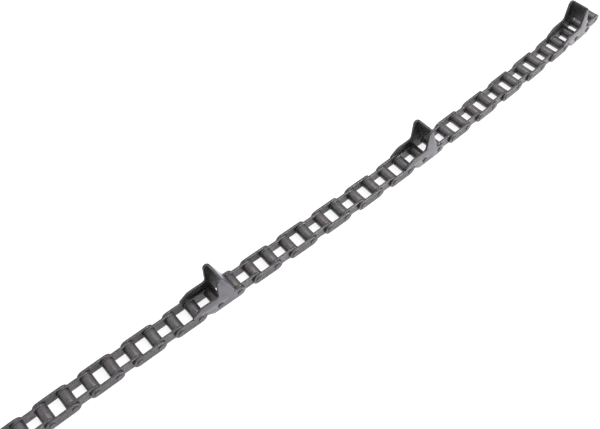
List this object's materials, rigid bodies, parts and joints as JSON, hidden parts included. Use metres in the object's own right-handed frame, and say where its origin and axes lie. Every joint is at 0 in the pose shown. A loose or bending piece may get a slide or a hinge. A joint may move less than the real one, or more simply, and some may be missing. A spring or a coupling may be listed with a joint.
{
  "type": "conveyor chain",
  "caption": "Straight length of steel roller conveyor chain with riveted pins, bushes, rollers and tall scoop-shaped sheet lugs that stop back-bending.",
  "frame": {"origin": "middle of the open pin holes at the first end of the chain, on the pin line", "axes": "+X along the first link towards the other end, +Y along its pin holes, +Z towards the tips of the lugs"},
  "size_m": [1.5138, 0.0674, 0.0891],
  "materials": {
    "outer_plate": "oiled dark steel plate with light wear on the edges",
    "inner_plate": "oiled dark steel plate",
    "lug_sheet": "heat-treated pressed steel sheet, lavender grey",
    "roller": "oiled dark steel, slightly brown"
  },
  "bodies": {
    "outer_link_01": {"outer_link_01": "outer_plate"},
    "inner_link_01": {"inner_link_01": "inner_plate"},
    "outer_link_02": {"outer_link_02": "outer_plate"},
    "inner_link_02": {"inner_link_02": "inner_plate"},
    "outer_link_03": {"outer_link_03": "outer_plate"},
    "inner_link_03": {"inner_link_03": "inner_plate"},
    "outer_link_04": {"outer_link_04": "outer_plate"},
    "inner_link_04": {"inner_link_04": "inner_plate"},
    "outer_link_05": {"outer_link_05": "outer_plate"},
    "inner_link_05": {"inner_link_05": "inner_plate"},
    "lug_link_06": {"lug_link_06": "lug_sheet"},
    "inner_link_06": {"inner_link_06": "inner_plate"},
    "outer_link_07": {"outer_link_07": "outer_plate"},
    "inner_link_07": {"inner_link_07": "inner_plate"},
    "outer_link_08": {"outer_link_08": "outer_plate"},
    "inner_link_08": {"inner_link_08": "inner_plate"},
    "outer_link_09": {"outer_link_09": "outer_plate"},
    "inner_link_09": {"inner_link_09": "inner_plate"},
    "outer_link_10": {"outer_link_10": "outer_plate"},
    "inner_link_10": {"inner_link_10": "inner_plate"},
    "outer_link_11": {"outer_link_11": "outer_plate"},
    "inner_link_11": {"inner_link_11": "inner_plate"},
    "lug_link_12": {"lug_link_12": "lug_sheet"},
    "inner_link_12": {"inner_link_12": "inner_plate"},
    "outer_link_13": {"outer_link_13": "outer_plate"},
    "inner_link_13": {"inner_link_13": "inner_plate"},
    "outer_link_14": {"outer_link_14": "outer_plate"},
    "inner_link_14": {"inner_link_14": "inner_plate"},
    "outer_link_15": {"outer_link_15": "outer_plate"},
    "inner_link_15": {"inner_link_15": "inner_plate"},
    "outer_link_16": {"outer_link_16": "outer_plate"},
    "inner_link_16": {"inner_link_16": "inner_plate"},
    "outer_link_17": {"outer_link_17": "outer_plate"},
    "inner_link_17": {"inner_link_17": "inner_plate"},
    "lug_link_18": {"lug_link_18": "lug_sheet"},
    "inner_link_18": {"inner_link_18": "inner_plate"},
    "roller_01a": {"roller_01a": "roller"},
    "roller_01b": {"roller_01b": "roller"},
    "roller_02a": {"roller_02a": "roller"},
    "roller_02b": {"roller_02b": "roller"},
    "roller_03a": {"roller_03a": "roller"},
    "roller_03b": {"roller_03b": "roller"},
    "roller_04a": {"roller_04a": "roller"},
    "roller_04b": {"roller_04b": "roller"},
    "roller_05a": {"roller_05a": "roller"},
    "roller_05b": {"roller_05b": "roller"},
    "roller_06a": {"roller_06a": "roller"},
    "roller_06b": {"roller_06b": "roller"},
    "roller_07a": {"roller_07a": "roller"},
    "roller_07b": {"roller_07b": "roller"},
    "roller_08a": {"roller_08a": "roller"},
    "roller_08b": {"roller_08b": "roller"},
    "roller_09a": {"roller_09a": "roller"},
    "roller_09b": {"roller_09b": "roller"},
    "roller_10a": {"roller_10a": "roller"},
    "roller_10b": {"roller_10b": "roller"},
    "roller_11a": {"roller_11a": "roller"},
    "roller_11b": {"roller_11b": "roller"},
    "roller_12a": {"roller_12a": "roller"},
    "roller_12b": {"roller_12b": "roller"}
  },
  "joints": [
    {"name": "pin_01_hinge", "type": "hinge", "parent": "inner_link_01", "child": "outer_link_01", "pos_m": [0.0414, 0, 0], "axis": [0, -1, 0], "range_deg": [-60, 60]},
    {"name": "pin_02_hinge", "type": "hinge", "parent": "outer_link_02", "child": "inner_link_01", "pos_m": [0.0828, -0.00013, 0], "axis": [0.0065, 1, 0], "range_deg": [-60, 60]},
    {"name": "pin_03_hinge", "type": "hinge", "parent": "inner_link_02", "child": "outer_link_02", "pos_m": [0.1242, -0.0004, 0], "axis": [-0.0065, -1, 0], "range_deg": [-60, 60]},
    {"name": "pin_04_hinge", "type": "hinge", "parent": "outer_link_03", "child": "inner_link_02", "pos_m": [0.1656, -0.0008, 0], "axis": [0.0129, 0.9999, 0], "range_deg": [-60, 60]},
    {"name": "pin_05_hinge", "type": "hinge", "parent": "inner_link_03", "child": "outer_link_03", "pos_m": [0.20699, -0.00134, 0], "axis": [-0.0129, -0.9999, 0], "range_deg": [-60, 60]},
    {"name": "pin_06_hinge", "type": "hinge", "parent": "outer_link_04", "child": "inner_link_03", "pos_m": [0.24839, -0.00201, 0], "axis": [0.0194, 0.9998, 0], "range_deg": [-60, 60]},
    {"name": "pin_07_hinge", "type": "hinge", "parent": "inner_link_04", "child": "outer_link_04", "pos_m": [0.28978, -0.00281, 0], "axis": [-0.0194, -0.9998, 0], "range_deg": [-60, 60]},
    {"name": "pin_08_hinge", "type": "hinge", "parent": "outer_link_05", "child": "inner_link_04", "pos_m": [0.33117, -0.00374, 0], "axis": [0.0258, 0.9997, 0], "range_deg": [-60, 60]},
    {"name": "pin_09_hinge", "type": "hinge", "parent": "inner_link_05", "child": "outer_link_05", "pos_m": [0.37256, -0.00481, 0], "axis": [-0.0258, -0.9997, 0], "range_deg": [-1.5, 60]},
    {"name": "pin_10_hinge", "type": "hinge", "parent": "lug_link_06", "child": "inner_link_05", "pos_m": [0.41394, -0.00601, 0], "axis": [0.0291, 0.9996, 0], "range_deg": [-60, 0.4]},
    {"name": "pin_11_hinge", "type": "hinge", "parent": "inner_link_06", "child": "lug_link_06", "pos_m": [0.45532, -0.00722, 0], "axis": [-0.0291, -0.9996, 0], "range_deg": [-60, 60]},
    {"name": "pin_12_hinge", "type": "hinge", "parent": "outer_link_07", "child": "inner_link_06", "pos_m": [0.4967, -0.00842, 0], "axis": [0.0291, 0.9996, 0], "range_deg": [-60, 60]},
    {"name": "pin_13_hinge", "type": "hinge", "parent": "inner_link_07", "child": "outer_link_07", "pos_m": [0.53809, -0.00962, 0], "axis": [-0.0291, -0.9996, 0], "range_deg": [-60, 60]},
    {"name": "pin_14_hinge", "type": "hinge", "parent": "outer_link_08", "child": "inner_link_07", "pos_m": [0.57947, -0.01083, 0], "axis": [0.0291, 0.9996, 0], "range_deg": [-60, 60]},
    {"name": "pin_15_hinge", "type": "hinge", "parent": "inner_link_08", "child": "outer_link_08", "pos_m": [0.62085, -0.01203, 0], "axis": [-0.0291, -0.9996, 0], "range_deg": [-60, 60]},
    {"name": "pin_16_hinge", "type": "hinge", "parent": "outer_link_09", "child": "inner_link_08", "pos_m": [0.66224, -0.01303, 0], "axis": [0.0195, 0.9998, 0], "range_deg": [-60, 60]},
    {"name": "pin_17_hinge", "type": "hinge", "parent": "inner_link_09", "child": "outer_link_09", "pos_m": [0.70363, -0.01384, 0], "axis": [-0.0195, -0.9998, 0], "range_deg": [-60, 60]},
    {"name": "pin_18_hinge", "type": "hinge", "parent": "outer_link_10", "child": "inner_link_09", "pos_m": [0.74503, -0.01445, 0], "axis": [0.0099, 1, 0], "range_deg": [-60, 60]},
    {"name": "pin_19_hinge", "type": "hinge", "parent": "outer_link_10", "child": "inner_link_10", "pos_m": [0.78642, -0.01485, 0], "axis": [0.0099, 1, 0], "range_deg": [-60, 60]},
    {"name": "pin_20_hinge", "type": "hinge", "parent": "inner_link_10", "child": "outer_link_11", "pos_m": [0.82782, -0.01506, 0], "axis": [-0.0003, -1, 0], "range_deg": [-60, 60]},
    {"name": "pin_21_hinge", "type": "hinge", "parent": "outer_link_11", "child": "inner_link_11", "pos_m": [0.86922, -0.01507, 0], "axis": [0.0003, 1, 0], "range_deg": [-1.5, 60]},
    {"name": "pin_22_hinge", "type": "hinge", "parent": "inner_link_11", "child": "lug_link_12", "pos_m": [0.91062, -0.01489, 0], "axis": [0.0093, -1, 0], "range_deg": [-60, 0.4]},
    {"name": "pin_23_hinge", "type": "hinge", "parent": "lug_link_12", "child": "inner_link_12", "pos_m": [0.95202, -0.0145, 0], "axis": [-0.0093, 1, 0], "range_deg": [-60, 60]},
    {"name": "pin_24_hinge", "type": "hinge", "parent": "inner_link_12", "child": "outer_link_13", "pos_m": [0.99342, -0.01392, 0], "axis": [0.0189, -0.9998, 0], "range_deg": [-60, 60]},
    {"name": "pin_25_hinge", "type": "hinge", "parent": "outer_link_13", "child": "inner_link_13", "pos_m": [1.03481, -0.01313, 0], "axis": [-0.0189, 0.9998, 0], "range_deg": [-60, 60]},
    {"name": "pin_26_hinge", "type": "hinge", "parent": "inner_link_13", "child": "outer_link_14", "pos_m": [1.0762, -0.01215, 0], "axis": [0.0285, -0.9996, 0], "range_deg": [-60, 60]},
    {"name": "pin_27_hinge", "type": "hinge", "parent": "outer_link_14", "child": "inner_link_14", "pos_m": [1.11758, -0.01097, 0], "axis": [-0.0285, 0.9996, 0], "range_deg": [-60, 60]},
    {"name": "pin_28_hinge", "type": "hinge", "parent": "inner_link_14", "child": "outer_link_15", "pos_m": [1.15896, -0.00959, 0], "axis": [0.0381, -0.9993, 0], "range_deg": [-60, 60]},
    {"name": "pin_29_hinge", "type": "hinge", "parent": "outer_link_15", "child": "inner_link_15", "pos_m": [1.20033, -0.00801, 0], "axis": [-0.0381, 0.9993, 0], "range_deg": [-60, 60]},
    {"name": "pin_30_hinge", "type": "hinge", "parent": "inner_link_15", "child": "outer_link_16", "pos_m": [1.24169, -0.00623, 0], "axis": [0.0477, -0.9989, 0], "range_deg": [-60, 60]},
    {"name": "pin_31_hinge", "type": "hinge", "parent": "outer_link_16", "child": "inner_link_16", "pos_m": [1.28304, -0.00426, 0], "axis": [-0.0477, 0.9989, 0], "range_deg": [-60, 60]},
    {"name": "pin_32_hinge", "type": "hinge", "parent": "inner_link_16", "child": "outer_link_17", "pos_m": [1.32439, -0.00208, 0], "axis": [0.0573, -0.9984, 0], "range_deg": [-60, 60]},
    {"name": "pin_33_hinge", "type": "hinge", "parent": "outer_link_17", "child": "inner_link_17", "pos_m": [1.36572, 0.00029, 0], "axis": [-0.0573, 0.9984, 0], "range_deg": [-1.5, 60]},
    {"name": "pin_34_hinge", "type": "hinge", "parent": "inner_link_17", "child": "lug_link_18", "pos_m": [1.40704, 0.00286, 0], "axis": [0.0669, -0.9978, 0], "range_deg": [-60, 0.4]},
    {"name": "pin_35_hinge", "type": "hinge", "parent": "lug_link_18", "child": "inner_link_18", "pos_m": [1.44835, 0.00563, 0], "axis": [-0.0669, 0.9978, 0], "range_deg": [-60, 60]},
    {"name": "roller_01a_spin", "type": "hinge", "parent": "inner_link_01", "child": "roller_01a", "pos_m": [0.0414, 0, 0], "axis": [0.0032, 1, 0], "continuous": true},
    {"name": "roller_01b_spin", "type": "hinge", "parent": "inner_link_01", "child": "roller_01b", "pos_m": [0.0828, -0.00013, 0], "axis": [0.0032, 1, 0], "continuous": true},
    {"name": "roller_02a_spin", "type": "hinge", "parent": "inner_link_02", "child": "roller_02a", "pos_m": [0.1242, -0.0004, 0], "axis": [0.0097, 1, 0], "continuous": true},
    {"name": "roller_02b_spin", "type": "hinge", "parent": "inner_link_02", "child": "roller_02b", "pos_m": [0.1656, -0.0008, 0], "axis": [0.0097, 1, 0], "continuous": true},
    {"name": "roller_03a_spin", "type": "hinge", "parent": "inner_link_03", "child": "roller_03a", "pos_m": [0.20699, -0.00134, 0], "axis": [0.0161, 0.9999, 0], "continuous": true},
    {"name": "roller_03b_spin", "type": "hinge", "parent": "inner_link_03", "child": "roller_03b", "pos_m": [0.24839, -0.00201, 0], "axis": [0.0161, 0.9999, 0], "continuous": true},
    {"name": "roller_04a_spin", "type": "hinge", "parent": "inner_link_04", "child": "roller_04a", "pos_m": [0.28978, -0.00281, 0], "axis": [0.0226, 0.9997, 0], "continuous": true},
    {"name": "roller_04b_spin", "type": "hinge", "parent": "inner_link_04", "child": "roller_04b", "pos_m": [0.33117, -0.00374, 0], "axis": [0.0226, 0.9997, 0], "continuous": true},
    {"name": "roller_05a_spin", "type": "hinge", "parent": "inner_link_05", "child": "roller_05a", "pos_m": [0.37256, -0.00481, 0], "axis": [0.0291, 0.9996, 0], "continuous": true},
    {"name": "roller_05b_spin", "type": "hinge", "parent": "inner_link_05", "child": "roller_05b", "pos_m": [0.41394, -0.00601, 0], "axis": [0.0291, 0.9996, 0], "continuous": true},
    {"name": "roller_06a_spin", "type": "hinge", "parent": "inner_link_06", "child": "roller_06a", "pos_m": [0.45532, -0.00722, 0], "axis": [0.0291, 0.9996, 0], "continuous": true},
    {"name": "roller_06b_spin", "type": "hinge", "parent": "inner_link_06", "child": "roller_06b", "pos_m": [0.4967, -0.00842, 0], "axis": [0.0291, 0.9996, 0], "continuous": true},
    {"name": "roller_07a_spin", "type": "hinge", "parent": "inner_link_07", "child": "roller_07a", "pos_m": [0.53809, -0.00962, 0], "axis": [0.0291, 0.9996, 0], "continuous": true},
    {"name": "roller_07b_spin", "type": "hinge", "parent": "inner_link_07", "child": "roller_07b", "pos_m": [0.57947, -0.01083, 0], "axis": [0.0291, 0.9996, 0], "continuous": true},
    {"name": "roller_08a_spin", "type": "hinge", "parent": "inner_link_08", "child": "roller_08a", "pos_m": [0.62085, -0.01203, 0], "axis": [0.0243, 0.9997, 0], "continuous": true},
    {"name": "roller_08b_spin", "type": "hinge", "parent": "inner_link_08", "child": "roller_08b", "pos_m": [0.66224, -0.01303, 0], "axis": [0.0243, 0.9997, 0], "continuous": true},
    {"name": "roller_09a_spin", "type": "hinge", "parent": "inner_link_09", "child": "roller_09a", "pos_m": [0.70363, -0.01384, 0], "axis": [0.0147, 0.9999, 0], "continuous": true},
    {"name": "roller_09b_spin", "type": "hinge", "parent": "inner_link_09", "child": "roller_09b", "pos_m": [0.74503, -0.01445, 0], "axis": [0.0147, 0.9999, 0], "continuous": true},
    {"name": "roller_10a_spin", "type": "hinge", "parent": "inner_link_10", "child": "roller_10a", "pos_m": [0.78642, -0.01485, 0], "axis": [0.0051, 1, 0], "continuous": true},
    {"name": "roller_10b_spin", "type": "hinge", "parent": "inner_link_10", "child": "roller_10b", "pos_m": [0.82782, -0.01506, 0], "axis": [0.0051, 1, 0], "continuous": true},
    {"name": "roller_11a_spin", "type": "hinge", "parent": "inner_link_11", "child": "roller_11a", "pos_m": [0.86922, -0.01507, 0], "axis": [-0.0045, 1, 0], "continuous": true},
    {"name": "roller_11b_spin", "type": "hinge", "parent": "inner_link_11", "child": "roller_11b", "pos_m": [0.91062, -0.01489, 0], "axis": [-0.0045, 1, 0], "continuous": true},
    {"name": "roller_12a_spin", "type": "hinge", "parent": "inner_link_12", "child": "roller_12a", "pos_m": [0.95202, -0.0145, 0], "axis": [-0.0141, 0.9999, 0], "continuous": true},
    {"name": "roller_12b_spin", "type": "hinge", "parent": "inner_link_12", "child": "roller_12b", "pos_m": [0.99342, -0.01392, 0], "axis": [-0.0141, 0.9999, 0], "continuous": true}
  ]
}
